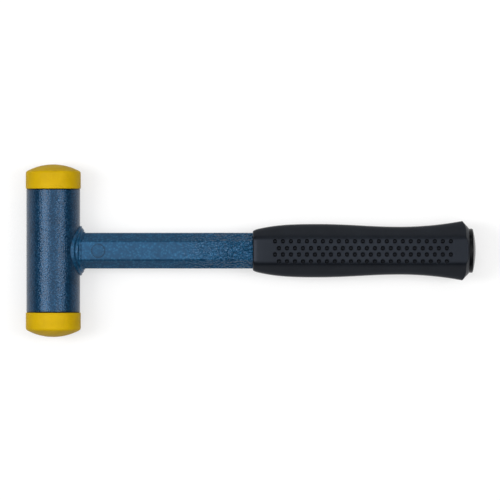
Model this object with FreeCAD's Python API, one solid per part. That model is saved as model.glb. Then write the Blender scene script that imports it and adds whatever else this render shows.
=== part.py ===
"""Dead blow mallet: a steel housing half filled with loose steel shot, two pressed-in polyurethane faces,
an octagonal steel tube handle welded on through a saddle, and a moulded grip with an end cap.

Millimetres. The tool is built about its own centre: the head axis is Y, the handle axis is +X, and the
two cross at the origin. Every piece is then moved so that the mallet lies on the XY plane, Z up, with
the origin under the middle of its bounding box.
"""

import FreeCAD
import Part
import math
import os
from collections import namedtuple
from FreeCAD import Vector

# ---------------------------------------------------------------- overall
OVERALL_LENGTH = 327.2        # outside of the head to the tip of the end cap
PRESS_GAP = 0.02              # radial room drawn between two pieces that are pressed together
SLIP_GAP = 0.10               # radial room between two pieces that slide together before welding
CUT_ALLOWANCE = 1.0           # how far a cutter stands out of what it cuts
LEAST_ROUNDING = 0.3          # corner rounding of an octagon never gets smaller than this

# ---------------------------------------------------------------- head housing
HOUSING_DIAMETER = 39.0
HOUSING_WALL = 3.0            # at the two seats, where it is thinnest
HOUSING_LENGTH = 90.0
HOUSING_EDGE_ROUNDING = 0.8   # outer edge of each mouth
MOUTH_CHAMFER = 0.5           # inner edge of each mouth
SEAT_SHOULDER = 0.6           # step from a seat down to the shot chamber

# ---------------------------------------------------------------- striking faces
FACE_OVERHANG = 0.5           # how far a face stands proud of the housing, all round
FACE_RIM_HEIGHT = 12.4        # straight side of the visible cap
FACE_DOME_RADIUS = 40.0
FACE_EDGE_ROUNDING = 2.2      # between the dome and the straight side
FACE_SEAT_ROUNDING = 0.5      # lower edge, next to the housing
SPIGOT_LENGTH = 18.0
SPIGOT_RIB_COUNT = 3
SPIGOT_RIB_WIDTH = 2.0
SPIGOT_RIB_HEIGHT = 0.35
SPIGOT_CORE_DIAMETER = 9.0    # blind moulding core in the end of the spigot
SPIGOT_CORE_DEPTH = 14.0

# ---------------------------------------------------------------- shot and its two closing discs
DISC_THICKNESS = 2.5
DISC_CHAMFER = 0.4
SHOT_DIAMETER = 5.0
SHOT_SPACING_GAP = 0.02       # room between neighbouring balls
SHOT_WALL_GAP = 0.08          # room between the outer balls and the chamber wall
SHOT_TRAVEL = 3.5             # smallest free way for the shot at each end of the chamber
SHOT_LEVEL = 8.5              # highest ball centre above the head axis, as the mallet lies

# ---------------------------------------------------------------- handle tube
TUBE_DEPTH = 26.0             # along the head axis, the direction of the blow
TUBE_THICKNESS = 21.5
TUBE_CORNER_CUT = 6.4         # 45 degree corner of the octagon, measured along Y and along Z
TUBE_CORNER_ROUNDING = 2.0
TUBE_WALL = 1.5
PLUG_LENGTH = 14.0            # steel plug that shuts the tube off from the shot
STAMP_DIAMETER = 9.6          # plain round stamp in the upper flat
STAMP_RING_WIDTH = 0.7
STAMP_DEPTH = 0.25
STAMP_FROM_HOUSING = 13.4     # housing's skin to the middle of the stamp

# ---------------------------------------------------------------- saddle and weld beads
SADDLE_MARGIN_DEPTH = 3.6     # saddle outside the tube, along Y
SADDLE_MARGIN_THICKNESS = 2.3
SADDLE_HEIGHT = 3.0           # above the housing's skin
SADDLE_EDGE_ROUNDING = 2.3
BASE_BEAD_WIDTH = 1.5         # weld between saddle and housing
BASE_BEAD_HEIGHT = 1.5
BASE_BEAD_ROUNDING = 1.0
NECK_BEAD_WIDTH = 0.8         # weld between saddle and tube
NECK_BEAD_HEIGHT = 0.8
NECK_BEAD_ROUNDING = 0.5

# ---------------------------------------------------------------- grip
GRIP_LENGTH = 157.2
GRIP_FLAT_HALF = 9.4          # half width of the flat that carries the dimples
GRIP_CORNER_ROUNDING = 4.0
GRIP_LIP_ROUNDING = 1.2
BELLY_AT = 48.3               # from the front of the grip to its thickest place
WAIST_AT = 106.7              # from the front of the grip to its slimmest place behind the belly
END_TAPER_SLOPE = 1.1         # how fast the eight sides close in on the cap: half width over length
END_TAPER_LENGTH = 10.0       # longer than the taper that is left after the sides are cut
END_HALF_WIDTH = 16.2         # half width across the eight sides where they meet the cap
END_ROUNDING = 8.0            # corners of that last section
LOFT_STEP = 12.0              # longest stretch between two sections of the grip
# material outside the tube: front, belly, waist, and where the flare would meet the end plane
Swell = namedtuple("Swell", "front belly waist flare")
SWELL_DEPTH = Swell(1.9, 6.4, 4.4, 9.6)
SWELL_THICKNESS = Swell(1.9, 5.0, 3.7, 6.9)

# ---------------------------------------------------------------- dimples in the grip
DIMPLE_PITCH = 5.79
DIMPLE_RADIUS = 1.45
DIMPLE_DEPTH = 0.9
DIMPLE_BOTTOM_ROUNDING = 0.5
DIMPLE_LIP = 0.25             # chamfer round the mouth
DIMPLE_ROWS = (7.35, 2.26, -2.26, -7.35)   # distance of each row from the middle of the pattern
DIMPLE_SHIFT = -0.5           # middle of the pattern from the middle of the flat
DIMPLE_MARGIN_FRONT = 16.1    # from the front of the grip to the first dimple
DIMPLE_MARGIN_BACK = 13.6     # least distance from the last dimple to the end of the grip

# ---------------------------------------------------------------- end cap
CAP_DIAMETER = 32.2
CAP_RIM_HEIGHT = 1.6
CAP_CROWN_HEIGHT = 3.3
CAP_CROWN_RADIUS = 60.0
CAP_STEM_LENGTH = 22.0
CAP_STEM_WALL = 2.5
CAP_STEM_GROOVES = 3
CAP_GROOVE_WIDTH = 1.6
CAP_GROOVE_DEPTH = 0.5
TUBE_SETBACK = 3.0            # tube end inside the grip's end

# ---------------------------------------------------------------- worked out from the above
HOUSING_RADIUS = HOUSING_DIAMETER / 2
SEAT_RADIUS = HOUSING_RADIUS - HOUSING_WALL
CHAMBER_RADIUS = SEAT_RADIUS - SEAT_SHOULDER
HOUSING_HALF = HOUSING_LENGTH / 2
CHAMBER_HALF = HOUSING_HALF - SPIGOT_LENGTH - DISC_THICKNESS
FACE_RADIUS = HOUSING_RADIUS + FACE_OVERHANG
TUBE_MOUTH_RADIUS = CHAMBER_RADIUS + SLIP_GAP     # tube and plug end just behind the chamber wall
SADDLE_RADIUS = HOUSING_RADIUS + SADDLE_HEIGHT
CAP_TIP_X = OVERALL_LENGTH - FACE_RADIUS
GRIP_END_X = CAP_TIP_X - CAP_RIM_HEIGHT - CAP_CROWN_HEIGHT
GRIP_FRONT_X = GRIP_END_X - GRIP_LENGTH
TUBE_END_X = GRIP_END_X - TUBE_SETBACK
REACH = OVERALL_LENGTH                             # longer than any cut needs to be

HEAD_AXIS = Vector(0, 1, 0)
HANDLE_AXIS = Vector(1, 0, 0)
ORIGIN = Vector(0, 0, 0)
LYING = Vector(FACE_RADIUS - OVERALL_LENGTH / 2, 0, FACE_RADIUS)


# ================================================================ helpers
Section = namedtuple("Section", "half_depth half_thickness cut rounding")


def grown(section, distance):
    """The same octagon with every side moved outwards by a distance, or inwards if it is negative."""
    return Section(
        section.half_depth + distance,
        section.half_thickness + distance,
        section.cut + distance * (2 - math.sqrt(2)),
        max(section.rounding + distance, LEAST_ROUNDING),
    )


def octagon(section, x):
    """Closed wire of a rounded octagon in the plane at x, in the same order of edges for every section."""
    a, b, cut = section.half_depth, section.half_thickness, section.cut
    corners = [
        Vector(x, y, z)
        for y, z in (
            (a - cut, b), (a, b - cut), (a, cut - b), (a - cut, -b),
            (cut - a, -b), (-a, cut - b), (-a, b - cut), (cut - a, b),
        )
    ]
    setback = section.rounding * math.tan(math.radians(22.5))
    edges = []
    last = None
    for i, corner in enumerate(corners):
        before = (corners[i - 1] - corner).normalize()
        after = (corners[(i + 1) % 8] - corner).normalize()
        middle = (before + after).normalize()
        start = corner + before * setback
        end = corner + after * setback
        to_arc = section.rounding / math.cos(math.radians(22.5)) - section.rounding
        arc = Part.Arc(start, corner + middle * to_arc, end).toShape()
        if last is not None:
            edges.append(Part.LineSegment(last, start).toShape())
        edges.append(arc)
        last = end
    first = edges[0].Vertexes[0].Point
    edges.append(Part.LineSegment(last, first).toShape())
    return Part.Wire(edges)


def octagon_bar(section, x_from, x_to):
    """Straight bar of octagonal section along the handle."""
    return Part.Face(octagon(section, x_from)).extrude(HANDLE_AXIS * (x_to - x_from))


def turned(points):
    """Solid of revolution of a closed outline of (radius, height) points about the head axis."""
    outline = [Vector(radius, height, 0) for radius, height in points]
    face = Part.Face(Part.makePolygon(outline + outline[:1]))
    return face.revolve(ORIGIN, HEAD_AXIS, 360)


def head_cylinder(radius):
    """Cylinder about the head axis, longer than the head."""
    return Part.makeCylinder(radius, 2 * REACH, Vector(0, -REACH, 0), HEAD_AXIS)


def edges_where(shape, test):
    """Edges of a shape whose every sampled point passes a test. The poles of spheres are left out."""
    real = [e for e in shape.Edges if not e.Degenerated]
    return [e for e in real if all(test(p) for p in e.discretize(5))]


def circle_edges(shape, radius, y):
    """Edges that are circles about the head axis, of a radius, at a height."""
    return edges_where(
        shape, lambda p: abs(p.y - y) < 1e-4 and abs(math.hypot(p.x, p.z) - radius) < 1e-3
    )


def plane_edges(shape, x):
    """Edges that lie in the plane at x."""
    return edges_where(shape, lambda p: abs(p.x - x) < 1e-4)


TUBE = Section(TUBE_DEPTH / 2, TUBE_THICKNESS / 2, TUBE_CORNER_CUT, TUBE_CORNER_ROUNDING)
TUBE_BORE = grown(TUBE, -TUBE_WALL)


# ================================================================ head
def head_housing():
    """Steel tube with a seat bored in each end and an octagonal hole for the handle in one side."""
    mouth = HOUSING_HALF
    outline = [
        (HOUSING_RADIUS, -mouth),
        (HOUSING_RADIUS, mouth),
        (SEAT_RADIUS + MOUTH_CHAMFER, mouth),
        (SEAT_RADIUS, mouth - MOUTH_CHAMFER),
        (SEAT_RADIUS, CHAMBER_HALF),
        (CHAMBER_RADIUS, CHAMBER_HALF),
        (CHAMBER_RADIUS, -CHAMBER_HALF),
        (SEAT_RADIUS, -CHAMBER_HALF),
        (SEAT_RADIUS, MOUTH_CHAMFER - mouth),
        (SEAT_RADIUS + MOUTH_CHAMFER, -mouth),
    ]
    body = turned(outline)
    edges = circle_edges(body, HOUSING_RADIUS, mouth) + circle_edges(body, HOUSING_RADIUS, -mouth)
    body = body.makeFillet(HOUSING_EDGE_ROUNDING, edges)
    return body.cut(octagon_bar(grown(TUBE, SLIP_GAP), 0, HOUSING_DIAMETER))


def face_insert(side):
    """Polyurethane face: domed cap outside, ribbed spigot pressed into the housing. side is +1 or -1."""
    seat = HOUSING_HALF
    rim = seat + FACE_RIM_HEIGHT
    sag = FACE_DOME_RADIUS - math.sqrt(FACE_DOME_RADIUS**2 - FACE_RADIUS**2)
    top = rim + sag
    spigot_end = seat - SPIGOT_LENGTH
    neck = SEAT_RADIUS - PRESS_GAP - SPIGOT_RIB_HEIGHT
    rib_pitch = SPIGOT_LENGTH / SPIGOT_RIB_COUNT

    block = turned(
        [(0, spigot_end), (neck, spigot_end), (neck, seat),
         (FACE_RADIUS, seat), (FACE_RADIUS, top), (0, top)]
    )
    ball = Part.makeSphere(FACE_DOME_RADIUS, Vector(0, top - FACE_DOME_RADIUS, 0), HEAD_AXIS)
    below_rim = Part.makeCylinder(FACE_RADIUS, rim - spigot_end, Vector(0, spigot_end, 0), HEAD_AXIS)
    piece = block.common(ball.fuse(below_rim)).removeSplitter()
    for i in range(SPIGOT_RIB_COUNT):
        middle = spigot_end + (i + 0.5) * rib_pitch
        low, high = middle - SPIGOT_RIB_WIDTH / 2, middle + SPIGOT_RIB_WIDTH / 2
        slope = SPIGOT_RIB_HEIGHT
        outer = neck + SPIGOT_RIB_HEIGHT
        rib = turned([(0, low - slope), (neck, low - slope), (outer, low), (outer, high),
                      (neck, high + slope), (0, high + slope)])
        piece = piece.fuse(rib)
    core = Part.makeCylinder(
        SPIGOT_CORE_DIAMETER / 2, SPIGOT_CORE_DEPTH, Vector(0, spigot_end, 0), HEAD_AXIS
    )
    piece = piece.cut(core).removeSplitter()
    piece = piece.makeFillet(FACE_EDGE_ROUNDING, circle_edges(piece, FACE_RADIUS, rim))
    piece = piece.makeFillet(FACE_SEAT_ROUNDING, circle_edges(piece, FACE_RADIUS, seat))
    return piece if side > 0 else piece.mirror(ORIGIN, HEAD_AXIS)


def closing_disc(side):
    """Steel disc that lies on the seat's shoulder and shuts one end of the shot chamber."""
    radius = SEAT_RADIUS - PRESS_GAP
    low, high = CHAMBER_HALF, CHAMBER_HALF + DISC_THICKNESS
    disc = turned(
        [(0, low), (radius - DISC_CHAMFER, low), (radius, low + DISC_CHAMFER),
         (radius, high - DISC_CHAMFER), (radius - DISC_CHAMFER, high), (0, high)]
    )
    return disc if side > 0 else disc.mirror(ORIGIN, HEAD_AXIS)


def steel_shot():
    """Loose steel balls, close-packed in the lower part of the chamber, with free way at both ends."""
    pitch = SHOT_DIAMETER + SHOT_SPACING_GAP
    layer_step = pitch * math.sqrt(2 / 3)
    row_step = pitch * math.sqrt(3) / 2
    reach = CHAMBER_RADIUS - SHOT_WALL_GAP - SHOT_DIAMETER / 2
    layers = int((2 * (CHAMBER_HALF - SHOT_TRAVEL) - SHOT_DIAMETER) / layer_step) + 1
    first_layer = -(layers - 1) * layer_step / 2
    rows = int(reach / row_step) + 1
    columns = int(reach / pitch) + 1
    balls = []
    for layer in range(layers):
        shift = layer % 2
        y = first_layer + layer * layer_step
        for row in range(-rows, rows + 1):
            z = row * row_step + shift * row_step / 3
            for column in range(-columns, columns + 1):
                x = (column + 0.5 * (row % 2) + 0.5 * shift) * pitch
                if math.hypot(x, z) <= reach and z <= SHOT_LEVEL:
                    balls.append(Part.makeSphere(SHOT_DIAMETER / 2, Vector(x, y, z)))
    length = (layers - 1) * layer_step + SHOT_DIAMETER
    print("shot:", len(balls), "balls, free travel each way", round(CHAMBER_HALF - length / 2, 3))
    return Part.Compound(balls)


# ================================================================ neck
def oval_bar(margin):
    """Elliptical bar along the handle, a margin outside the saddle's own outline."""
    half_y = TUBE.half_depth + SADDLE_MARGIN_DEPTH + margin
    half_z = TUBE.half_thickness + SADDLE_MARGIN_THICKNESS + margin
    ellipse = Part.Ellipse(Vector(0, half_y, 0), Vector(0, 0, half_z), ORIGIN)
    return Part.Face(Part.Wire(ellipse.toShape())).extrude(HANDLE_AXIS * HOUSING_DIAMETER)


def skin_shell(inner, outer):
    """Round shell about the head axis, from one radius to another."""
    return head_cylinder(outer).cut(head_cylinder(inner))


def rounded_rim(shape, radius, rounding):
    """Rounds the closed edge of a pad where its top meets its side."""
    rim = edges_where(shape, lambda p: abs(math.hypot(p.x, p.z) - radius) < 1e-3)
    return shape.makeFillet(rounding, rim)


def neck_saddle():
    """Oval steel pad, shaped to the housing, that the handle tube passes through."""
    pad = oval_bar(0).common(skin_shell(HOUSING_RADIUS, SADDLE_RADIUS))
    pad = rounded_rim(pad, SADDLE_RADIUS, SADDLE_EDGE_ROUNDING)
    return pad.cut(octagon_bar(grown(TUBE, SLIP_GAP), 0, HOUSING_DIAMETER))


def saddle_weld():
    """Bead round the foot of the saddle, on the housing."""
    top = HOUSING_RADIUS + BASE_BEAD_HEIGHT
    bead = oval_bar(BASE_BEAD_WIDTH).common(skin_shell(HOUSING_RADIUS, top))
    bead = rounded_rim(bead, top, BASE_BEAD_ROUNDING)
    return bead.cut(oval_bar(0))


def handle_weld(saddle):
    """Bead round the tube where it comes out of the saddle."""
    top = SADDLE_RADIUS + NECK_BEAD_HEIGHT
    foot = SADDLE_RADIUS - SADDLE_EDGE_ROUNDING / 2
    bead = octagon_bar(grown(TUBE, NECK_BEAD_WIDTH), 0, HOUSING_DIAMETER)
    bead = bead.common(skin_shell(foot, top))
    bead = rounded_rim(bead, top, NECK_BEAD_ROUNDING)
    return bead.cut(saddle).cut(octagon_bar(TUBE, 0, HOUSING_DIAMETER))


# ================================================================ handle
def handle_tube():
    """Octagonal steel tube, its head end cut to the curve of the shot chamber, with a plain round stamp."""
    tube = octagon_bar(TUBE, 0, TUBE_END_X).cut(octagon_bar(TUBE_BORE, 0, TUBE_END_X))
    tube = tube.cut(head_cylinder(TUBE_MOUTH_RADIUS))
    stamp_x = HOUSING_RADIUS + STAMP_FROM_HOUSING
    floor = Vector(stamp_x, 0, TUBE.half_thickness - STAMP_DEPTH)
    ring = Part.makeCylinder(STAMP_DIAMETER / 2, REACH, floor)
    ring = ring.cut(Part.makeCylinder(STAMP_DIAMETER / 2 - STAMP_RING_WIDTH, REACH, floor))
    return tube.cut(ring)


def tube_plug():
    """Steel plug in the head end of the tube, flush with the chamber, that keeps the shot out of it."""
    bar = octagon_bar(grown(TUBE_BORE, -PRESS_GAP), 0, TUBE_MOUTH_RADIUS + PLUG_LENGTH)
    return bar.cut(head_cylinder(TUBE_MOUTH_RADIUS))


# ================================================================ grip
def swelling(swell, s):
    """Material outside the tube at a distance s from the front of the grip."""
    if s < BELLY_AT:
        share = (BELLY_AT - s) / BELLY_AT
        return swell.belly - (swell.belly - swell.front) * share**3
    if s < WAIST_AT:
        share = (s - BELLY_AT) / (WAIST_AT - BELLY_AT)
        return swell.waist + (swell.belly - swell.waist) * (1 + math.cos(math.pi * share)) / 2
    share = (s - WAIST_AT) / (GRIP_LENGTH - WAIST_AT)
    return swell.waist + (swell.flare - swell.waist) * share**2


def grip_section(s):
    """Rounded octagon of the grip at a distance s from its front."""
    half_depth = TUBE.half_depth + swelling(SWELL_DEPTH, s)
    half_thickness = TUBE.half_thickness + swelling(SWELL_THICKNESS, s)
    return Section(half_depth, half_thickness, half_depth - GRIP_FLAT_HALF, GRIP_CORNER_ROUNDING)


def dimple_cutter():
    """Cutter for one dimple, its mouth at the origin: slightly flared lip, straight side, rounded bottom."""
    r, depth, rounding = DIMPLE_RADIUS, DIMPLE_DEPTH, DIMPLE_BOTTOM_ROUNDING
    above = CUT_ALLOWANCE
    bulge = rounding * (1 - math.sqrt(0.5))
    edges = [
        Part.LineSegment(Vector(0, 0, -depth), Vector(r - rounding, 0, -depth)),
        Part.Arc(
            Vector(r - rounding, 0, -depth),
            Vector(r - bulge, 0, bulge - depth),
            Vector(r, 0, rounding - depth),
        ),
        Part.LineSegment(Vector(r, 0, rounding - depth), Vector(r, 0, -DIMPLE_LIP)),
        Part.LineSegment(Vector(r, 0, -DIMPLE_LIP), Vector(r + DIMPLE_LIP + above, 0, above)),
        Part.LineSegment(Vector(r + DIMPLE_LIP + above, 0, above), Vector(0, 0, above)),
        Part.LineSegment(Vector(0, 0, above), Vector(0, 0, -depth)),
    ]
    outline = Part.Wire([e.toShape() for e in edges])
    return Part.Face(outline).revolve(ORIGIN, Vector(0, 0, 1), 360)


def dimple_places():
    """(distance from the grip's front, y) of every dimple on one flat. Odd rows are half a pitch behind."""
    usable = GRIP_LENGTH - DIMPLE_MARGIN_FRONT - DIMPLE_MARGIN_BACK
    places = []
    for row, y in enumerate(DIMPLE_ROWS):
        start = (row % 2) * DIMPLE_PITCH / 2
        count = int((usable - 2 * start) / DIMPLE_PITCH + 1e-6) + 1
        places += [(DIMPLE_MARGIN_FRONT + start + i * DIMPLE_PITCH, y + DIMPLE_SHIFT) for i in range(count)]
    return places


def grip_sleeve():
    """Moulded grip: lofted octagon with belly, waist and flare, dimples in both flats, bored for the tube."""
    stops = [0, BELLY_AT, WAIST_AT, GRIP_LENGTH]
    stations = [0]
    for low, high in zip(stops, stops[1:]):
        steps = math.ceil((high - low) / LOFT_STEP)
        stations += [low + (high - low) * (i + 1) / steps for i in range(steps)]
    wires = [octagon(grip_section(s), GRIP_FRONT_X + s) for s in stations]
    body = Part.makeLoft(wires, True, False)
    body = body.makeFillet(GRIP_LIP_ROUNDING, plane_edges(body, GRIP_FRONT_X))
    last = Section(END_HALF_WIDTH, END_HALF_WIDTH, END_HALF_WIDTH * (2 - math.sqrt(2)), END_ROUNDING)
    wide = grown(last, END_TAPER_LENGTH * END_TAPER_SLOPE)
    taper_x = GRIP_END_X - END_TAPER_LENGTH
    taper = Part.makeLoft([octagon(wide, taper_x), octagon(last, GRIP_END_X)], True, True)
    body = body.common(taper.fuse(octagon_bar(wide, GRIP_FRONT_X - CUT_ALLOWANCE, taper_x)))
    body = body.cut(octagon_bar(grown(TUBE, PRESS_GAP), 0, OVERALL_LENGTH))
    cutter = dimple_cutter()
    cutters = []
    for s, y in dimple_places():
        above = cutter.copy()
        above.translate(Vector(GRIP_FRONT_X + s, y, grip_section(s).half_thickness))
        cutters += [above, above.mirror(ORIGIN, Vector(0, 0, 1))]
    return body.cut(Part.Compound(cutters))


def end_cap():
    """Crowned plastic cap with a hollow grooved stem that plugs into the tube."""
    rim_x = GRIP_END_X + CAP_RIM_HEIGHT
    radius = CAP_DIAMETER / 2
    disc = Part.makeCylinder(radius, CAP_TIP_X - GRIP_END_X, Vector(GRIP_END_X, 0, 0), HANDLE_AXIS)
    ball_centre = Vector(CAP_TIP_X - CAP_CROWN_RADIUS, 0, 0)
    ball = Part.makeSphere(CAP_CROWN_RADIUS, ball_centre, HANDLE_AXIS)
    disc = disc.common(ball)
    sag = CAP_CROWN_RADIUS - math.sqrt(CAP_CROWN_RADIUS**2 - radius**2)
    edge_x = CAP_TIP_X - sag
    disc = disc.makeFillet(edge_x - rim_x, plane_edges(disc, edge_x))
    stem_section = grown(TUBE_BORE, -PRESS_GAP)
    stem_start = GRIP_END_X - CAP_STEM_LENGTH
    stem = octagon_bar(stem_section, stem_start, GRIP_END_X)
    stem = stem.cut(octagon_bar(grown(stem_section, -CAP_STEM_WALL), stem_start, GRIP_END_X))
    groove_pitch = (CAP_STEM_LENGTH - TUBE_SETBACK) / (CAP_STEM_GROOVES + 1)
    for i in range(CAP_STEM_GROOVES):
        low = stem_start + (i + 1) * groove_pitch - CAP_GROOVE_WIDTH / 2
        collar = octagon_bar(grown(stem_section, CAP_GROOVE_DEPTH), low, low + CAP_GROOVE_WIDTH)
        core = octagon_bar(grown(stem_section, -CAP_GROOVE_DEPTH), low, low + CAP_GROOVE_WIDTH)
        stem = stem.cut(collar.cut(core))
    return disc.fuse(stem).removeSplitter()


# ================================================================ export
def main():
    saddle = neck_saddle()
    pieces = {
        "head_housing": head_housing(),
        "right_face": face_insert(+1),
        "left_face": face_insert(-1),
        "right_shot_disc": closing_disc(+1),
        "left_shot_disc": closing_disc(-1),
        "steel_shot": steel_shot(),
        "neck_saddle": saddle,
        "saddle_weld": saddle_weld(),
        "handle_weld": handle_weld(saddle),
        "handle_tube": handle_tube(),
        "tube_plug": tube_plug(),
        "grip_sleeve": grip_sleeve(),
        "end_cap": end_cap(),
    }
    os.makedirs("parts", exist_ok=True)
    for name, shape in pieces.items():
        placed = shape.copy()
        placed.translate(LYING)
        placed.exportStep(os.path.join("parts", name + ".step"))
        print(name, len(placed.Solids), "solids, volume", round(placed.Volume, 1), placed.isValid())


main()
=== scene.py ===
# %% [markdown]
# # A dead blow mallet
#
# The mallet lies on its side on a pale bench, seen from straight above. Its real pieces are a steel head
# tube with a domed plastic face pressed into each end, a saddle and a straight octagonal handle tube welded
# on, a soft grip and a glossy cap. Inside the head, which nobody sees, are steel balls between two discs.
#
# Most pieces come from the construction model and only need a finish. The ones whose surface has more in it
# than the construction model holds are made again here, in the same place.

# %% Load the frame
import math
from collections import namedtuple

import bmesh
import bpy
from mathutils import Matrix, Vector


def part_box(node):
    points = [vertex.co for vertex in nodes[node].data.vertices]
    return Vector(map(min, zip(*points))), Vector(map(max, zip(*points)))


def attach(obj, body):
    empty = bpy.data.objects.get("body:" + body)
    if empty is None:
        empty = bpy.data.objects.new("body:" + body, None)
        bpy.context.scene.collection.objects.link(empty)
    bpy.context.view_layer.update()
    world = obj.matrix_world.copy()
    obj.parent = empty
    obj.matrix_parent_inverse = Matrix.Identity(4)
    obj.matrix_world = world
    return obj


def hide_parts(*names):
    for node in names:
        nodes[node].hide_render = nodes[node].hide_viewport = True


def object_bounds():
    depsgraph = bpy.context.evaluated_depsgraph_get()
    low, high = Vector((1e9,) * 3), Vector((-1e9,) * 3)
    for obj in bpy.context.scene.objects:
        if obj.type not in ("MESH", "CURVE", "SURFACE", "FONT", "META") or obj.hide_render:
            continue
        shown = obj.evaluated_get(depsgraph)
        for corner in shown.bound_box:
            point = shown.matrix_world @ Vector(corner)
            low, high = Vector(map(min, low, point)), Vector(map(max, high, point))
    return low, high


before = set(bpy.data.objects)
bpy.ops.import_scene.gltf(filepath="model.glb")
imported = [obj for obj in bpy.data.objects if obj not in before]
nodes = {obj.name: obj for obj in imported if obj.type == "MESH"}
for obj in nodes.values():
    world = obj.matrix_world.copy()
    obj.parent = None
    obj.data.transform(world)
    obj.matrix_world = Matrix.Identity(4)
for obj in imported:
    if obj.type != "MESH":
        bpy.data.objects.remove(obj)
cad_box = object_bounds()
print("pieces in the frame:", ", ".join(sorted(nodes)))

# %% [markdown]
# ## Places
#
# Everything is in metres, and sizes are written in millimetres times MM. The head axis and the handle axis
# are read from the boxes of the pieces, so nothing has to be typed twice.

# %% Places read from the frame
MM = 0.001
MERGE_DISTANCE = 0.001 * MM  # points of a mesh as close as this are one point


def span(piece, axis):
    """Lowest and highest value of a piece along X, Y or Z (0, 1 or 2)."""
    low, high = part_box(piece)
    return low[axis], high[axis]


def middle(piece, axis):
    """Middle of a piece along X, Y or Z (0, 1 or 2)."""
    return sum(span(piece, axis)) / 2


def half_size(piece, axis):
    """Half of a piece's size along X, Y or Z (0, 1 or 2)."""
    low, high = span(piece, axis)
    return (high - low) / 2


HEAD_X = middle("head_housing", 0)
AXIS_Z = middle("head_housing", 2)
OBJECT_MIDDLE = (cad_box[0] + cad_box[1]) / 2
print(f"head axis at x = {HEAD_X / MM:.1f} mm, both axes {AXIS_Z / MM:.1f} mm above the bench")

# %% [markdown]
# ## Camera
#
# A long lens from far above keeps the two ends of the tool the same size, as in a catalogue picture. The
# picture is square, so the lens follows from how much of the bench it has to show.

# %% Camera
PICTURE_WIDTH = 363.7 * MM
CAMERA_DISTANCE = 4.0
PICTURE_CENTRE = Vector((HEAD_X + 143.1 * MM, 0.5 * MM, AXIS_Z))

camera = bpy.data.objects.new("camera", bpy.data.cameras.new("camera"))
bpy.context.scene.collection.objects.link(camera)
camera.data.lens = camera.data.sensor_width * CAMERA_DISTANCE / PICTURE_WIDTH
camera.location = PICTURE_CENTRE + Vector((0, 0, CAMERA_DISTANCE))
bpy.context.scene.camera = camera
bpy.context.scene.view_settings.view_transform = "Standard"
print(f"lens {camera.data.lens:.0f} mm")

# %% [markdown]
# ## Colours and nodes
#
# Nothing here is a piece. These are the tools that every finish is mixed with. A colour is written as
# people read it off a paint card, in sRGB, but light adds up in linear values, so one function turns it. A
# finish is a tree of small nodes, and one function adds a node with its settings and its links, which keeps
# each finish short enough to read.

# %% Colours and nodes
NOISE_RANGE = {"From_Min": 0.3, "From_Max": 0.7}  # a noise seldom leaves this range


def linear(hex_colour):
    """An sRGB colour such as "#3c5e79" as the linear RGBA that shaders work in."""
    channels = [int(hex_colour[i : i + 2], 16) / 255 for i in (1, 3, 5)]
    return [c / 12.92 if c <= 0.04045 else ((c + 0.055) / 1.055) ** 2.4 for c in channels] + [1.0]


def node(tree, kind, settings=None, **links):
    """Adds a shader node. A link is a value for a socket, or another node's output to join to it."""
    made = tree.nodes.new("ShaderNode" + kind)
    for name, value in (settings or {}).items():
        setattr(made, name, value)
    for name, value in links.items():
        key = int(name[1:]) if name.startswith("_") else name.replace("_", " ")
        if isinstance(value, bpy.types.NodeSocket):
            tree.links.new(value, made.inputs[key])
        else:
            made.inputs[key].default_value = value
    return made


def new_material(name):
    """An empty node material with its output node."""
    material = bpy.data.materials.new(name)
    material.use_nodes = True
    material.node_tree.nodes.clear()
    return material, material.node_tree


print("middle grey #808080 is", round(linear("#808080")[0], 3), "of white in linear light")

# %% [markdown]
# ## Bench and backdrop
#
# The bench is a white board and the backdrop a low roll of white paper far round it, so a view from the
# side has a pale background too. What the camera, gloss and clear things see of them is lifted with a
# little emission, which puts no more light on the mallet and keeps its shadow. Far out, where the lamps
# hardly reach, the camera sees full white. From below, the board is clear.

# %% Bench and backdrop
BENCH_SIZE = 12.0
BACKDROP_HEIGHT = 0.5
BACKDROP_RADIUS = BENCH_SIZE / 2 * 0.98
BENCH_LIFT = 0.52
BACKDROP_LIFT = 0.9
LAMP_REACH = (0.5, 1.5)  # metres from the middle, between which the board goes over to full white
BOARD_PAINT = "#b8b8b8"  # a pale grey, which the lift makes look white


def white_board(name, lift):
    """A white board that looks brighter by lift than its light makes it, and is clear from behind."""
    material, tree = new_material(name)
    paint = node(tree, "BsdfDiffuse", Color=linear(BOARD_PAINT))
    path = node(tree, "LightPath").outputs
    place = node(tree, "TexCoord").outputs["Object"]
    away = node(tree, "VectorMath", {"operation": "LENGTH"}, _0=place).outputs["Value"]
    near, wide = LAMP_REACH
    far = node(tree, "MapRange", Value=away, From_Min=near, From_Max=wide, To_Min=lift, To_Max=1.0)
    strength = node(tree, "Mix", _0=path["Is Camera Ray"], _2=lift, _3=far.outputs[0]).outputs[0]
    glow = node(tree, "Emission", Color=linear("#ffffff"), Strength=strength)
    dark = node(tree, "Emission", Color=linear("#000000"), Strength=0.0)
    mirrored = node(
        tree, "Math", {"operation": "MAXIMUM"}, _0=path["Is Glossy Ray"], _1=path["Is Transmission Ray"]
    )
    shown = node(tree, "Math", {"operation": "MAXIMUM"}, _0=path["Is Camera Ray"], _1=mirrored.outputs[0])
    seen = node(tree, "MixShader", _0=shown.outputs[0], _1=dark.outputs[0], _2=glow.outputs[0])
    board = node(tree, "AddShader", _0=paint.outputs[0], _1=seen.outputs[0])
    side = node(tree, "NewGeometry").outputs["Backfacing"]
    clear = node(tree, "BsdfTransparent")
    one_sided = node(tree, "MixShader", _0=side, _1=board.outputs[0], _2=clear.outputs[0])
    node(tree, "OutputMaterial", Surface=one_sided.outputs[0])
    return material


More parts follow.
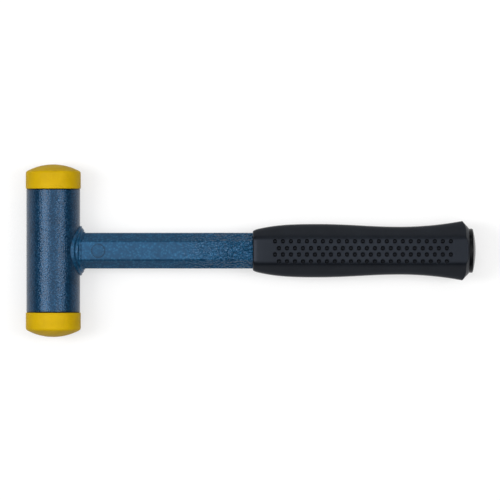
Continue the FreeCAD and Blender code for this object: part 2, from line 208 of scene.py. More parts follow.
def stage_piece(bm, name, material):
    """Turns a bmesh into a part of the stage, which is not part of the mallet."""
    piece = bpy.data.objects.new(name, bpy.data.meshes.new(name))
    bm.to_mesh(piece.data)
    bm.free()
    piece.data.materials.append(material)
    bpy.context.scene.collection.objects.link(piece)


bm = bmesh.new()
bmesh.ops.create_grid(bm, x_segments=1, y_segments=1, size=BENCH_SIZE / 2)
stage_piece(bm, "bench", white_board("bench_white_board", BENCH_LIFT))

bm = bmesh.new()
bmesh.ops.create_cone(
    bm,
    cap_ends=False,
    segments=96,
    radius1=BACKDROP_RADIUS,
    radius2=BACKDROP_RADIUS,
    depth=BACKDROP_HEIGHT,
    matrix=Matrix.Translation((0, 0, BACKDROP_HEIGHT / 2)),
)
bmesh.ops.reverse_faces(bm, faces=bm.faces)
stage_piece(bm, "backdrop", white_board("backdrop_white_paper", BACKDROP_LIFT))
print(f"bench {BENCH_SIZE:.0f} m square, backdrop {BACKDROP_HEIGHT} m high")

# %% [markdown]
# ## Light
#
# The light is that of a small studio: a bright ceiling, dark walls, and three softboxes. The ceiling makes
# the faces that look up bright and leaves the slanting ones dark, which is what shows that the handle is an
# octagon. The gloss on the mallet shows the ceiling, the walls, the bench and the backdrop. Above the
# backdrop the camera sees white.

# %% World
HORIZON_LIGHT = 0.06
CEILING_LIGHT = 1.9
CEILING_EDGE = 0.7  # height on the dome, from 0 at the horizon to 1 overhead, where the ceiling begins

world = bpy.data.worlds.new("studio")
world.use_nodes = True
bpy.context.scene.world = world
tree = world.node_tree
tree.nodes.clear()
height = node(tree, "SeparateXYZ", _0=node(tree, "TexCoord").outputs["Generated"])
ceiling = node(
    tree,
    "MapRange",
    {"interpolation_type": "SMOOTHSTEP"},
    Value=height.outputs["Z"],
    From_Min=CEILING_EDGE,
    To_Min=HORIZON_LIGHT,
    To_Max=CEILING_LIGHT,
)
dome = node(tree, "Background", Color=linear("#ffffff"), Strength=ceiling.outputs[0])
white = node(tree, "Background", Color=linear("#ffffff"), Strength=1.0)
path = node(tree, "LightPath").outputs
shown = node(tree, "Math", {"operation": "MAXIMUM"}, _0=path["Is Camera Ray"], _1=path["Is Transmission Ray"])
studio = node(tree, "MixShader", _0=shown.outputs[0], _1=dome.outputs[0], _2=white.outputs[0])
node(tree, "OutputWorld", Surface=studio.outputs[0])
print(f"studio dome from {HORIZON_LIGHT} at the horizon to {CEILING_LIGHT} overhead")

# %% [markdown]
# ## Lamps
#
# A softbox is a lamp behind a white cloth. The round head mirrors each one as a bright band along it, so
# the two strong ones stand to its left and right. They stand clear of the place that the flat of the handle
# mirrors, or it would turn white. The weak one at the back lifts the far side of the grip.

# %% Lamps
def softbox(name, place, size, watts):
    """A rectangular lamp that looks at the middle of the mallet."""
    lamp = bpy.data.lights.new(name, "AREA")
    lamp.shape = "RECTANGLE"
    lamp.size, lamp.size_y = size
    lamp.energy = watts
    box = bpy.data.objects.new(name, lamp)
    box.location = place
    box.rotation_euler = (OBJECT_MIDDLE - Vector(place)).to_track_quat("-Z", "Y").to_euler()
    bpy.context.scene.collection.objects.link(box)
    print(f"{name}: {watts} W, {size[0]} by {size[1]} m")


softbox("left_softbox", (-1.05, 0.05, 1.25), (0.5, 0.9), 11.0)
softbox("right_softbox", (0.85, 0.05, 1.35), (0.4, 0.9), 7.0)
softbox("back_softbox", (0.0, 1.3, 0.8), (1.2, 0.4), 2.5)

# %% [markdown]
# ## Hammertone enamel
#
# The head, the saddle, the handle tube and its welds are sprayed with a stoved hammertone enamel. Silicone
# in the paint makes it pull into small round cells while it is wet, and the aluminium flake gathers in
# them. It gives the eye cells 1 to 2 mm across, with pale centres in a darker blue net, under a thin clear
# gloss. On the head the same enamel takes darker tones, which are painted shade.
#
# A Voronoi pattern has cells like these. Bending its coordinates with some noise keeps the cells from
# looking drawn, and the same distance that colours a cell also hollows it out in the bump. The paint lies
# thicker on the handle next to the grip, so the relief grows towards it. Two more masks darken the colour:
# a painted shade in the ring stamped into the handle, and a painted shadow in the seam at the mouths of the
# head, where the faces meet it.

# %% Hammertone
Tones = namedtuple("Tones", "net paint flake")
TUBE_TONES = Tones("#113f5f", "#15486a", "#20567a")
# the same enamel as the tube, with darker tones on the head as painted shade
HEAD_TONES_PAINTED_DARKER = Tones("#092f4a", "#0e3a59", "#1c4b6c")
FLAKE_SIZE = 0.4 * MM
TUBE_CELL = 1.9 * MM
HEAD_CELL = 1.2 * MM
TUBE_RELIEF = (0.08, 1.2)
HEAD_RELIEF = (0.12, 0.12)
RELIEF_LENGTH = 75 * MM  # the relief of the tube grows over this length, up to the grip
GRIP_FRONT, GRIP_END = span("grip_sleeve", 0)
HEAD_MOUTH = span("head_housing", 1)[1]
# a band at the mouths of the head that takes a painted shadow, where the faces meet it
SEAM_SHADOW_BAND = (HEAD_MOUTH - 1.2 * MM, HEAD_MOUTH - 0.5 * MM)
STAMP_PLACE = (HEAD_X + 32.9 * MM, 0.0, span("handle_tube", 2)[1])
STAMP_RADIUS = 4.8 * MM


def hammertone(name, tones, cell, reliefs, where):
    """Stoved hammertone enamel. Its relief goes from one depth to another between two places along X."""
    material, tree = new_material(name)
    place = node(tree, "TexCoord").outputs["Object"]
    wander = node(tree, "TexNoise", Vector=place, Scale=1 / (2 * cell), Detail=2.0)
    bent = node(tree, "VectorMath", {"operation": "SCALE"}, _0=wander.outputs["Color"], Scale=cell * 1.2)
    moved = node(tree, "VectorMath", _0=place, _1=bent.outputs[0]).outputs[0]
    cells = node(tree, "TexVoronoi", {"feature": "SMOOTH_F1"}, Vector=moved, Scale=1 / cell, Smoothness=0.4)
    tone = node(tree, "ValToRGB", _0=cells.outputs["Distance"])
    stops = tone.color_ramp.elements
    stops[0].position, stops[0].color = 0.1, linear(tones.flake)
    stops[1].position, stops[1].color = 0.65, linear(tones.net)
    stops.new(0.34).color = linear(tones.paint)

    axes = node(tree, "SeparateXYZ", _0=place)
    cloud = node(tree, "TexNoise", Vector=place, Scale=1 / (14 * MM), Detail=3.0)
    shade = node(tree, "MapRange", Value=cloud.outputs["Fac"], **NOISE_RANGE, To_Min=0.85, To_Max=1.1)
    # painted shadow: the colour goes nearly black in the seam at the mouths of the head
    out = node(tree, "Math", {"operation": "ABSOLUTE"}, _0=axes.outputs["Y"]).outputs[0]
    painted_seam_shadow = node(tree, "MapRange", Value=out, From_Min=SEAM_SHADOW_BAND[0], From_Max=SEAM_SHADOW_BAND[1], To_Min=1.0, To_Max=0.06)
    # painted shade: the colour is darkened along the ring stamped into the handle
    away = node(tree, "VectorMath", {"operation": "DISTANCE"}, _0=place, _1=STAMP_PLACE)
    line = node(tree, "Math", {"operation": "SUBTRACT"}, _0=away.outputs["Value"], _1=STAMP_RADIUS)
    line = node(tree, "Math", {"operation": "ABSOLUTE"}, _0=line.outputs[0])
    painted_stamp_shade = node(tree, "MapRange", Value=line.outputs[0], From_Min=0.3 * MM, From_Max=0.6 * MM, To_Min=0.6)
    # both painted shades together, laid over the random clouds of tone
    painted_shade = node(tree, "Math", {"operation": "MULTIPLY"}, _0=painted_seam_shadow.outputs[0], _1=painted_stamp_shade.outputs[0])
    shade = node(tree, "Math", {"operation": "MULTIPLY"}, _0=shade.outputs[0], _1=painted_shade.outputs[0])
    multiply = {"data_type": "RGBA", "blend_type": "MULTIPLY"}
    colour = node(tree, "Mix", multiply, _0=1.0, _6=tone.outputs["Color"], _7=shade.outputs[0])

    flake = node(tree, "TexNoise", Vector=place, Scale=1 / FLAKE_SIZE, Detail=2.0)
    gloss = node(tree, "MapRange", Value=flake.outputs["Fac"], **NOISE_RANGE, To_Min=0.28, To_Max=0.42)
    depth = node(
        tree,
        "MapRange",
        {"interpolation_type": "SMOOTHSTEP"},
        Value=axes.outputs["X"],
        From_Min=where[0],
        From_Max=where[1],
        To_Min=reliefs[0],
        To_Max=reliefs[1],
    )
    relief = node(tree, "Math", {"operation": "MULTIPLY"}, _0=cells.outputs["Distance"], _1=depth.outputs[0])
    add = {"operation": "MULTIPLY_ADD"}
    height = node(tree, "Math", add, _0=flake.outputs["Fac"], _1=-0.05, _2=relief.outputs[0])
    bump = node(tree, "Bump", {"invert": True}, Strength=1.0, Distance=1.0 * MM, Height=height.outputs[0])
    shader = node(
        tree,
        "BsdfPrincipled",
        Base_Color=colour.outputs[2],
        Metallic=0.45,
        Roughness=gloss.outputs[0],
        Specular_IOR_Level=0.12,
        Coat_Weight=0.25,
        Coat_Roughness=0.1,
        Normal=bump.outputs[0],
        Coat_Normal=bump.outputs[0],
    )
    node(tree, "OutputMaterial", Surface=shader.outputs[0])
    return material


near_grip = (GRIP_FRONT - RELIEF_LENGTH, GRIP_FRONT)
ENAMEL_TUBE = hammertone("stoved_hammertone_enamel_on_tube_with_painted_shade", TUBE_TONES, TUBE_CELL, TUBE_RELIEF, near_grip)
ENAMEL_HEAD_PAINTED_DARKER = hammertone(
    "stoved_hammertone_enamel_on_head_painted_darker", HEAD_TONES_PAINTED_DARKER, HEAD_CELL, HEAD_RELIEF, (HEAD_X, GRIP_FRONT)
)
print(f"enamel cells {TUBE_CELL / MM:.1f} mm on the tube, {HEAD_CELL / MM:.1f} mm on the head")

# %% [markdown]
# ## Cast polyurethane faces
#
# The faces are cast from a tough polyurethane, pigmented yellow all through. It gives the eye a satin skin
# with slow clouds of lighter and darker pigment, a faint orange peel from the mould, and a little light
# that goes in and comes out again at the edges. Small scuffs from use are left out, since the faces are
# new.

# %% Polyurethane
POLYURETHANE, tree = new_material("cast_polyurethane_yellow")
place = node(tree, "TexCoord").outputs["Object"]
cloud = node(tree, "TexNoise", Vector=place, Scale=1 / (9 * MM), Detail=4.0)
pigment = node(tree, "ValToRGB", _0=cloud.outputs["Fac"])
pigment.color_ramp.elements[0].position, pigment.color_ramp.elements[0].color = 0.3, linear("#c49f00")
pigment.color_ramp.elements[1].position, pigment.color_ramp.elements[1].color = 0.7, linear("#cfa902")
peel = node(tree, "TexNoise", Vector=place, Scale=1 / (0.8 * MM), Detail=2.0)
gloss = node(tree, "MapRange", Value=peel.outputs["Fac"], **NOISE_RANGE, To_Min=0.5, To_Max=0.62)
bump = node(tree, "Bump", Strength=0.15, Distance=0.1 * MM, Height=peel.outputs["Fac"])
shader = node(
    tree,
    "BsdfPrincipled",
    Base_Color=pigment.outputs["Color"],
    Roughness=gloss.outputs[0],
    IOR=1.5,
    Specular_IOR_Level=0.1,
    Subsurface_Weight=0.1,
    Subsurface_Radius=(1.0, 0.6, 0.2),
    Subsurface_Scale=1.0 * MM,
    Normal=bump.outputs[0],
)
node(tree, "OutputMaterial", Surface=shader.outputs[0])
print("finish:", POLYURETHANE.name)

# %% [markdown]
# ## Moulded vinyl grip
#
# The grip is a soft vinyl, black with a little blue in it, moulded in a tool with a fine spark-eroded
# grain. It gives the eye a dull sheen that brightens at a low angle, and a grain of about a third of a
# millimetre that breaks up every highlight. The dimples are left by polished pins, so the vinyl inside them
# is smoother, and its colour is painted nearly black as painted shade in the hollows. Both finishes come
# from one function.

# %% Vinyl
GRAIN = 0.35 * MM


def vinyl(name, dark, light, roughness, relief, shine):
    """Soft vinyl, with the roughness and the grain that its part of the mould leaves."""
    material, tree = new_material(name)
    place = node(tree, "TexCoord").outputs["Object"]
    grain = node(tree, "TexNoise", Vector=place, Scale=1 / GRAIN, Detail=3.0, Roughness=0.6)
    cloud = node(tree, "TexNoise", Vector=place, Scale=1 / (12 * MM), Detail=2.0)
    tint = node(tree, "ValToRGB", _0=cloud.outputs["Fac"])
    tint.color_ramp.elements[0].position, tint.color_ramp.elements[0].color = 0.3, linear(dark)
    tint.color_ramp.elements[1].position, tint.color_ramp.elements[1].color = 0.7, linear(light)
    smooth, dull = roughness
    gloss = node(tree, "MapRange", Value=grain.outputs["Fac"], **NOISE_RANGE, To_Min=smooth, To_Max=dull)
    bump = node(tree, "Bump", Strength=relief, Distance=0.08 * MM, Height=grain.outputs["Fac"])
    shader = node(
        tree,
        "BsdfPrincipled",
        Base_Color=tint.outputs["Color"],
        Roughness=gloss.outputs[0],
        IOR=1.53,
        Specular_IOR_Level=shine,
        Specular_Tint=linear("#dde8ff"),
        Normal=bump.outputs[0],
    )
    node(tree, "OutputMaterial", Surface=shader.outputs[0])
    return material


VINYL = vinyl("moulded_soft_vinyl_black", "#0d1015", "#12161b", (0.3, 0.42), 0.2, 0.19)
# smoother vinyl for the dimples, whose nearly black colour is painted shade in the hollows
VINYL_POLISHED_PAINTED_DARK = vinyl(
    "moulded_soft_vinyl_from_polished_pins_with_painted_shade", "#010202", "#030304", (0.2, 0.28), 0.05, 0.1
)
print("finishes:", VINYL.name, "and", VINYL_POLISHED_PAINTED_DARK.name)

# %% [markdown]
# ## Moulded cap
#
# The cap is a hard polypropylene plug with a polished top. It gives the eye a deeper black than the grip
# and one clear highlight round its rim, with a faint ripple from the mould.

# %% Cap plastic
CAP_PLASTIC, tree = new_material("moulded_polypropylene_black")
place = node(tree, "TexCoord").outputs["Object"]
ripple = node(tree, "TexNoise", Vector=place, Scale=1 / (3 * MM), Detail=3.0)
tint = node(tree, "ValToRGB", _0=ripple.outputs["Fac"])
tint.color_ramp.elements[0].position, tint.color_ramp.elements[0].color = 0.3, linear("#0a0b0d")
tint.color_ramp.elements[1].position, tint.color_ramp.elements[1].color = 0.7, linear("#0f1012")
gloss = node(tree, "MapRange", Value=ripple.outputs["Fac"], **NOISE_RANGE, To_Min=0.14, To_Max=0.24)
bump = node(tree, "Bump", Strength=0.1, Distance=0.05 * MM, Height=ripple.outputs["Fac"])
shader = node(
    tree,
    "BsdfPrincipled",
    Base_Color=tint.outputs["Color"],
    Roughness=gloss.outputs[0],
    IOR=1.49,
    Specular_IOR_Level=0.08,
    Normal=bump.outputs[0],
)
node(tree, "OutputMaterial", Surface=shader.outputs[0])
print("finish:", CAP_PLASTIC.name)

# %% [markdown]
# ## Steel inside the head
#
# The discs that shut the chamber, and the plug in the handle, are turned mild steel: grey, with fine rings
# from the lathe. The rings run round the head axis, so a Mapping node moves the pattern there.

# %% Turned steel
RING_SPACING = 0.25 * MM

TURNED_STEEL, tree = new_material("turned_mild_steel")
place = node(tree, "TexCoord").outputs["Object"]
centred = node(tree, "Mapping", Vector=place, Location=(-HEAD_X, 0.0, -AXIS_Z))
rings = node(
    tree,
    "TexWave",
    {"wave_type": "RINGS", "rings_direction": "Y"},
    Vector=centred.outputs[0],
    Scale=math.pi / (10 * RING_SPACING),
    Distortion=0.5,
)
tint = node(tree, "ValToRGB", _0=rings.outputs["Fac"])
tint.color_ramp.elements[0].color = linear("#8d8f90")
tint.color_ramp.elements[1].color = linear("#a3a5a6")
gloss = node(tree, "MapRange", Value=rings.outputs["Fac"], To_Min=0.3, To_Max=0.42)
shader = node(
    tree, "BsdfPrincipled", Base_Color=tint.outputs["Color"], Metallic=1.0, Roughness=gloss.outputs[0]
)
node(tree, "OutputMaterial", Surface=shader.outputs[0])
print(f"finish: {TURNED_STEEL.name}, a ring every {RING_SPACING / MM} mm")

# %% [markdown]
# ## Oiled steel
#
# The balls are hardened steel, rolled smooth and oiled, so they don't rust in the closed head. That gives
# the eye a darker metal, whose gloss comes and goes where the oil lies in patches. One slow noise drives
# both.

# %% Oiled steel balls
OILED_STEEL, tree = new_material("hardened_oiled_steel")
place = node(tree, "TexCoord").outputs["Object"]
oil = node(tree, "TexNoise", Vector=place, Scale=1 / (4 * MM), Detail=3.0)
tint = node(tree, "ValToRGB", _0=oil.outputs["Fac"])
tint.color_ramp.elements[0].position, tint.color_ramp.elements[0].color = 0.3, linear("#5f6062")
tint.color_ramp.elements[1].position, tint.color_ramp.elements[1].color = 0.7, linear("#7f8082")
gloss = node(tree, "MapRange", Value=oil.outputs["Fac"], **NOISE_RANGE, To_Min=0.12, To_Max=0.3)
shader = node(
    tree, "BsdfPrincipled", Base_Color=tint.outputs["Color"], Metallic=1.0, Roughness=gloss.outputs[0]
)
node(tree, "OutputMaterial", Surface=shader.outputs[0])
print("finish:", OILED_STEEL.name)

# %% [markdown]
# ## Finishes for the construction pieces
#
# These pieces keep their shape from the construction model and take a finish through their material slots.

# %% Give the finishes
FINISHES = {
    "head_housing": ENAMEL_HEAD_PAINTED_DARKER,
    "neck_saddle": ENAMEL_TUBE,
    "saddle_weld": ENAMEL_TUBE,
    "handle_weld": ENAMEL_TUBE,
    "handle_tube": ENAMEL_TUBE,
    "right_face": POLYURETHANE,
    "left_face": POLYURETHANE,
    "end_cap": CAP_PLASTIC,
    "right_shot_disc": TURNED_STEEL,
    "left_shot_disc": TURNED_STEEL,
    "tube_plug": TURNED_STEEL,
}
for name, finish in FINISHES.items():
    nodes[name].material_slots[0].material = finish
print(len(FINISHES), "construction pieces have their finish")

# %% [markdown]
# ## The grip's shape
#
# The grip is soft vinyl moulded over the tube. Its section is an octagon with rounded corners. The octagon
# swells to a belly under the palm, narrows to a waist and flares at the butt, and its upper and lower sides
# carry four rows of round dimples.
#
# It could be cut with boolean cutters, but those leave long thin faces that shade badly. Instead one flat
# grid is wrapped round the handle: every column of the grid is one section of the grip, and the columns are
# spaced so that each dimple gets a patch of four faces of its own. A subdivision surface then rounds
# everything off.

# %% Grip sizes
TUBE_HALF_DEPTH = half_size("handle_tube", 1)
TUBE_HALF_THICKNESS = half_size("handle_tube", 2)
TUBE_CORNER_CUT = 6.4 * MM
TUBE_CORNER_ROUNDING = 2.0 * MM
PRESS_GAP = 0.02 * MM

GRIP_LENGTH = GRIP_END - GRIP_FRONT
FLAT_HALF = 9.4 * MM  # half width of the side that carries the dimples
CORNER_ROUNDING = 4.0 * MM
LIP_ROUNDING = 1.2 * MM
BELLY_AT = 48.3 * MM  # from the grip's front
WAIST_AT = 106.7 * MM
Swell = namedtuple("Swell", "front belly waist flare")
SWELL_DEPTH = Swell(1.9 * MM, 6.4 * MM, 4.4 * MM, 9.6 * MM)
SWELL_THICKNESS = Swell(1.9 * MM, 5.0 * MM, 3.7 * MM, 6.9 * MM)
TAPER_SLOPE = 1.1  # the butt closes in on the cap this fast
TAPER_LENGTH = 10.0 * MM
TAPER_END = 16.2 * MM  # half width across the sides at the cap
TAPER_SOFTNESS = 20  # a lower number rounds the taper's eight corners more
END_SUPPORT = 0.97  # a column just inside the end keeps its edge crisp


def swelling(swell, s):
    """Material outside the tube at a distance s from the grip's front."""
    if s < BELLY_AT:
        share = (BELLY_AT - s) / BELLY_AT
        return swell.belly - (swell.belly - swell.front) * share**3
    if s < WAIST_AT:
        share = (s - BELLY_AT) / (WAIST_AT - BELLY_AT)
        return swell.waist + (swell.belly - swell.waist) * (1 + math.cos(math.pi * share)) / 2
    share = (s - WAIST_AT) / (GRIP_LENGTH - WAIST_AT)
    return swell.waist + (swell.flare - swell.waist) * share**2


print(f"grip {GRIP_LENGTH / MM:.1f} mm long, over a tube {2 * TUBE_HALF_DEPTH / MM:.1f} mm deep")

# %% [markdown]
# ## Where the dimples go
#
# The dimples stand in four rows, each second row moved on by half a step, so that the palm finds an edge
# wherever it lies. In the mould they are rows of pins. Here their places are worked out before anything
# else, because a line of the grid has to run through the middle and along the rim of every one.

# %% Dimple layout
DIMPLE_PITCH = 5.79 * MM
DIMPLE_RADIUS = 1.45 * MM
DIMPLE_MOUTH = 1.84 * MM  # the subdivision draws this ring in to the rounded lip, 1.7 mm
DIMPLE_STEPS = [  # how far in and how far down
    (0.15 * MM, 0.1 * MM),
    (0.03 * MM, 0.35 * MM),
    (0.4 * MM, 0.43 * MM),
    (0.5 * MM, 0.1 * MM),
]
DIMPLE_ROWS = (7.35 * MM, 2.26 * MM, -2.26 * MM, -7.35 * MM)
DIMPLE_SHIFT = -0.5 * MM  # the pattern sits a little off the middle of the side
FIRST_DIMPLE = 16.1 * MM
LAST_DIMPLE = GRIP_LENGTH - 13.6 * MM
COLUMN = DIMPLE_PITCH / 4  # two columns of faces to a dimple and two to the land after it

row_places = [row + DIMPLE_SHIFT for row in DIMPLE_ROWS]
flat_stations = []
for row, below in zip(row_places, row_places[1:] + [None]):
    flat_stations += [row + DIMPLE_RADIUS, row, row - DIMPLE_RADIUS]
    if below is not None:
        flat_stations.append((row + below) / 2)
print(len(flat_stations), "stations across the flat side")

# %% [markdown]
# ## Sections
#
# Cut across, the grip is an octagon with rounded corners, and so is the bore that the tube fills. One
# function draws both from a few sizes. It walks over the upper half only, because the lower half is its
# mirror image, and it always gives the same number of points, called stations here, because a grid needs
# that.

# %% Section of the grip
def corner_drop(y, flat_edge, rounding):
    """How far a rounded corner has fallen below the flat side at y."""
    beyond = min(max(abs(y) - flat_edge, 0.0), rounding * math.sqrt(0.5))
    return rounding - math.sqrt(rounding**2 - beyond**2)


def octagon_half(half_depth, half_thickness, flat_half, rounding):
    """Upper half of a rounded octagon as (y, z) stations, from the +Y side over the top to the -Y side."""
    cut = half_depth - flat_half
    setback = rounding * math.tan(math.pi / 8)
    arc = [(math.sin(a), math.cos(a)) for a in (0, math.pi / 8, math.pi / 4)]
    low_corner = half_thickness - cut - setback
    side = [(half_depth, 0), (half_depth, low_corner / 2)]
    side += [(half_depth - rounding * (1 - c), low_corner + rounding * s) for s, c in arc]
    flat_edge = flat_half - setback
    reach = rounding * arc[-1][0]
    last = (flat_edge + reach, half_thickness - rounding * (1 - arc[-1][1]))
    side += [tuple(p + (q - p) * t for p, q in zip(side[-1], last)) for t in (1 / 3, 2 / 3)]
    side.append(last)

    scale = flat_half / FLAT_HALF
    flat = []
    for y in [FLAT_HALF * scale] + [station * scale for station in flat_stations]:
        flat.append((y, half_thickness - corner_drop(y, flat_edge, rounding)))
    return side + flat + [(-y, z) for y, z in reversed(side)]


def grip_half(s, inset=0.0):
    """Upper half of the grip's section at a distance s from its front, or a little inside it."""
    return octagon_half(
        TUBE_HALF_DEPTH + swelling(SWELL_DEPTH, s) - inset,
        TUBE_HALF_THICKNESS + swelling(SWELL_THICKNESS, s) - inset,
        FLAT_HALF - inset * math.tan(math.pi / 8),
        CORNER_ROUNDING - inset,
    )


def crown(s, y):
    """Height of the grip's upper side at a place on it."""
    half_thickness = TUBE_HALF_THICKNESS + swelling(SWELL_THICKNESS, s)
    flat_edge = FLAT_HALF - CORNER_ROUNDING * math.tan(math.pi / 8)
    return half_thickness - corner_drop(y, flat_edge, CORNER_ROUNDING)


BORE_HALF = octagon_half(
    TUBE_HALF_DEPTH + PRESS_GAP,
    TUBE_HALF_THICKNESS + PRESS_GAP,
    TUBE_HALF_DEPTH - TUBE_CORNER_CUT,
    TUBE_CORNER_ROUNDING,
)
print(len(BORE_HALF), "stations in the upper half of a section")

# %% [markdown]
# ## The taper at the butt
#
# At the butt the flared grip closes in fast on the cap. The taper is an octagonal cone with soft corners,
# and the crowned sides of the grip run into it at different lengths. So every lengthwise line looks for its
# own start of the taper, by halving the stretch it must lie in again and again.

# %% Butt taper
def across(y, z):
    """Half width of the soft-cornered octagon that passes through a point."""
    sides = (abs(y), abs(z), (abs(y) + abs(z)) / math.sqrt(2))
    return sum(side**TAPER_SOFTNESS for side in sides) ** (1 / TAPER_SOFTNESS)


def taper_half_width(s):
    """Half width of the taper at a distance s from the grip's front."""
    return TAPER_END + TAPER_SLOPE * (GRIP_LENGTH - s)


def taper_start(station):
    """Where the taper cuts one lengthwise line of the grip, found by halving."""
    low, high = GRIP_LENGTH - TAPER_LENGTH, GRIP_LENGTH
    for _ in range(30):
        s = (low + high) / 2
        if across(*grip_half(s)[station]) > taper_half_width(s):
            high = s
        else:
            low = s
    return low


print(f"taper {2 * TAPER_END / MM:.1f} mm wide where it meets the cap")

# %% [markdown]
# ## Columns
#
# A column of the grid is one section at its place along the handle. The columns start at the butt end of
# the bore, run through it to the front, round the lip, and back along the outside over the belly, the
# dimples and the taper. They end where they began, so the grip gets a real wall. They stand close together
# where the surface turns, and far apart where it runs straight.

# %% Columns of the grid
def ring(s, half):
    """One column of the grid: a section placed at a distance s from the grip's front."""
    return [(s, y, z) for y, z in half]


BORE_SHARES = (1.0, 0.7, 0.35, 0.01, 0.0)  # where the bore has a column, from the butt to the front
LIP_STEPS = (0.0, 0.3, 0.7, 1.0)  # share of the lip's rounding
FRONT_SHARES = (0.1, 0.25, 0.45, 0.65, 0.85)  # share of the way from the lip to the dimples
BUTT_SHARES = (0.25, 0.5, 0.75, 0.93, 1.0)  # share of the way from the last dimple to the taper
TAPER_SHARES = (0.07, 0.5, 0.93, 1.0)  # share of the way down the taper

column_count = round((LAST_DIMPLE - FIRST_DIMPLE) / COLUMN) + 4
dimple_columns = [FIRST_DIMPLE + (i - 2) * COLUMN for i in range(column_count + 1)]

rings = [ring(GRIP_LENGTH * share, BORE_HALF) for share in BORE_SHARES]
for share in LIP_STEPS:
    angle = share * math.pi / 2
    inset = LIP_ROUNDING * (1 - math.sin(angle))
    rings.append(ring(LIP_ROUNDING * (1 - math.cos(angle)), grip_half(0.0, inset)))
for share in FRONT_SHARES:
    s = LIP_ROUNDING + (dimple_columns[0] - LIP_ROUNDING) * share
    rings.append(ring(s, grip_half(s)))
first_dimple_ring = len(rings) + 2
rings += [ring(s, grip_half(s)) for s in dimple_columns]

station_count = len(BORE_HALF)
starts = [taper_start(station) for station in range(station_count)]
for share in BUTT_SHARES:
    column = []
    for station, start in enumerate(starts):
        s = dimple_columns[-1] + (start - dimple_columns[-1]) * share
        column.append((s, *grip_half(s)[station]))
    rings.append(column)
for share in TAPER_SHARES:
    column = []
    for station, start in enumerate(starts):
        s = start + (GRIP_LENGTH - start) * share
        y, z = grip_half(start)[station]
        shrink = taper_half_width(s) / across(y, z)
        column.append((s, y * shrink, z * shrink))
    rings.append(column)
rings.append([(s, y * END_SUPPORT, z * END_SUPPORT) for s, y, z in rings[-1]])
rings.append(rings[0])
print(len(rings), "columns of", station_count, "stations")

# %% [markdown]
# ## Wrapping
#
# A mould fills in one go, and the mesh is made in the same spirit. One flat grid gets a line for every
# column and every station, and each of its points moves to its place on the grip. The faces stay joined, so
# there is no seam to sew.

# %% Wrap the grid
bm = bmesh.new()
bmesh.ops.create_grid(bm, x_segments=len(rings) - 1, y_segments=station_count - 1, size=1.0)
grid = {}
for vertex in bm.verts:
    i = round((vertex.co.x + 1) / 2 * (len(rings) - 1))
    j = round((vertex.co.y + 1) / 2 * (station_count - 1))
    grid[i, j] = vertex
for (i, j), vertex in grid.items():
    vertex.co = rings[i][j]
print(len(bm.faces), "faces wrapped round the upper half")

# %% [markdown]
# ## Mouths of the dimples
#
# Each dimple has a patch of four faces. Its middle point stays, and the eight points round it move onto a
# circle, which makes the patch round. Their height is read off the crowned side, so the rim lies in the
# surface.

# %% Round the mouths of the dimples
SIDE_STATIONS = (station_count - len(flat_stations) - 1) // 2
FIRST_ROW_STATION = SIDE_STATIONS + 2
mouths = []
dimples = 0
for row, y in enumerate(row_places):
    j = FIRST_ROW_STATION + 4 * row
    start = 2 * (row % 2)
    room = LAST_DIMPLE - FIRST_DIMPLE - start * COLUMN
    for k in range(int(room / DIMPLE_PITCH + 0.1) + 1):
        i = first_dimple_ring + start + 4 * k
        s = grid[i, j].co.x
        for di in (-1, 0, 1):
            for dj in (-1, 0, 1):
                reach = DIMPLE_MOUTH * (math.sqrt(0.5) if di and dj else 1.0)
                new_s, new_y = s + di * reach, y - dj * reach
                grid[i + di, j + dj].co = (new_s, new_y, crown(new_s, new_y))
        mouths += grid[i, j].link_faces
        dimples += 1
print(dimples, "dimples on the upper side")

# %% [markdown]
# ## Sinking the dimples
#
# The pins leave a soft lip, a steep wall and a round floor. Drawing the patch in and pushing it down in
# four steps gives that profile, as four cuts on a lathe would. The faces inside the lip take the polished
# finish, whose nearly black colour is painted shade.

# %% Sink the dimples
bmesh.ops.recalc_face_normals(bm, faces=bm.faces)
if grid[first_dimple_ring, FIRST_ROW_STATION].normal.z < 0:
    bmesh.ops.reverse_faces(bm, faces=bm.faces)
for number, (step_in, step_down) in enumerate(DIMPLE_STEPS):
    bmesh.ops.inset_region(
        bm, faces=mouths, thickness=step_in, depth=-step_down, use_even_offset=True, use_boundary=True
    )
    if number == 0:
        for face in mouths:
            face.material_index = 1
print("dimples", round(sum(down for _, down in DIMPLE_STEPS) / MM, 2), "mm deep")

# %% [markdown]
# ## The lower half
#
# The grip is the same above and below. The skin is mirrored in the plane of the handle axis and joined
# along it, and the ends of the columns are joined at the butt. An open edge would be a hole or a slit, so
# they are counted, and a closed skin has none.

# %% Mirror and close the grip
geometry = bm.verts[:] + bm.edges[:] + bm.faces[:]
bmesh.ops.mirror(bm, geom=geometry, axis="Z", merge_dist=0.0)
bmesh.ops.remove_doubles(bm, verts=bm.verts, dist=MERGE_DISTANCE)
bmesh.ops.recalc_face_normals(bm, faces=bm.faces)
bmesh.ops.translate(bm, verts=bm.verts, vec=(GRIP_FRONT, 0, AXIS_Z))
loose = sum(edge.is_boundary or not edge.is_manifold for edge in bm.edges)
print(len(bm.faces), "faces,", loose, "open edges, volume", round(bm.calc_volume() / MM**3), "mm3")

# %% [markdown]
# ## From a mesh to a piece
#
# A piece needs more than a mesh: a finish, the body it moves with, a slot that its finish can be changed
# by, and the construction piece it stands for, which it hides. One function does this for both new pieces.
# The subdivision surface of the grip stays live, and rounds its corners and the lips of its dimples.

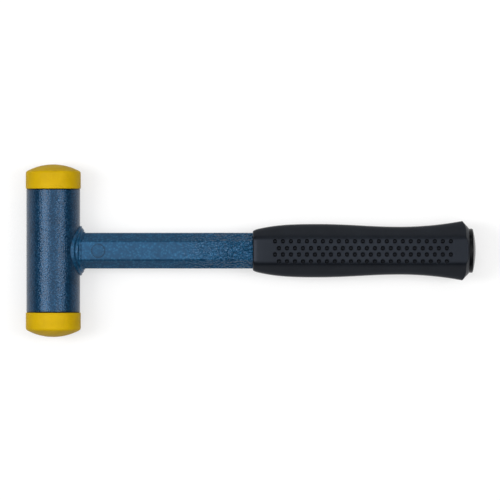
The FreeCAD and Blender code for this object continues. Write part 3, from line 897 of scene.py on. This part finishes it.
# %% Make the grip a piece
def finish_piece(bm, name, finish, body, replaced):
    """Turns a bmesh into a smooth piece that rides on a body and stands for a construction piece."""
    mesh = bpy.data.meshes.new(name)
    bm.to_mesh(mesh)
    bm.free()
    mesh.materials.append(finish)
    mesh.shade_smooth()
    piece = bpy.data.objects.new(name, mesh)
    bpy.context.scene.collection.objects.link(piece)
    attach(piece, body)
    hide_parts(replaced)
    return piece


grip = finish_piece(bm, "vinyl_grip", VINYL, "mallet", "grip_sleeve")
# second slot: the dimple vinyl, with its painted shade
grip.data.materials.append(VINYL_POLISHED_PAINTED_DARK)
rounding = grip.modifiers.new("rounding", "SUBSURF")
rounding.levels = rounding.render_levels = 1
print("made", grip.name)

# %% [markdown]
# ## Steel balls
#
# Loose steel balls fill most of the chamber in the head. They arrive a moment after the blow and stop the
# mallet from bouncing back, which is why it is called a dead blow mallet. Their places are read from the
# construction model. Each ball there is an island of its mesh, with no edge to any other, so walking along
# the edges from any point finds one whole ball, and the middle of its box is the middle of the ball.

# %% Find the balls
shot_mesh = bmesh.new()
shot_mesh.from_mesh(nodes["steel_shot"].data)
bmesh.ops.remove_doubles(shot_mesh, verts=shot_mesh.verts, dist=MERGE_DISTANCE)
centres = []
unseen = set(shot_mesh.verts)
for first in shot_mesh.verts:
    if first not in unseen:
        continue
    unseen.remove(first)
    island = [first]
    low, high = first.co.copy(), first.co.copy()
    while island:
        vertex = island.pop()
        for axis in range(3):
            low[axis] = min(low[axis], vertex.co[axis])
            high[axis] = max(high[axis], vertex.co[axis])
        for edge in vertex.link_edges:
            other = edge.other_vert(vertex)
            if other in unseen:
                unseen.remove(other)
                island.append(other)
    centres.append(((low + high) / 2, (high - low).x / 2))
shot_mesh.free()
print(len(centres), "balls of radius", round(centres[0][1] / MM, 2), "mm")

# %% [markdown]
# ## Making the balls
#
# The real balls are rolled between grooved plates. Nobody sees them in the closed head, and there are more
# than two hundred, so each is an icosphere of 80 faces, which are spread evenly over it.

# %% Make the balls
bm = bmesh.new()
for centre, radius in centres:
    bmesh.ops.create_icosphere(bm, subdivisions=2, radius=radius, matrix=Matrix.Translation(centre))
balls = finish_piece(bm, "steel_balls", OILED_STEEL, "shot", "steel_shot")
print("made", balls.name)
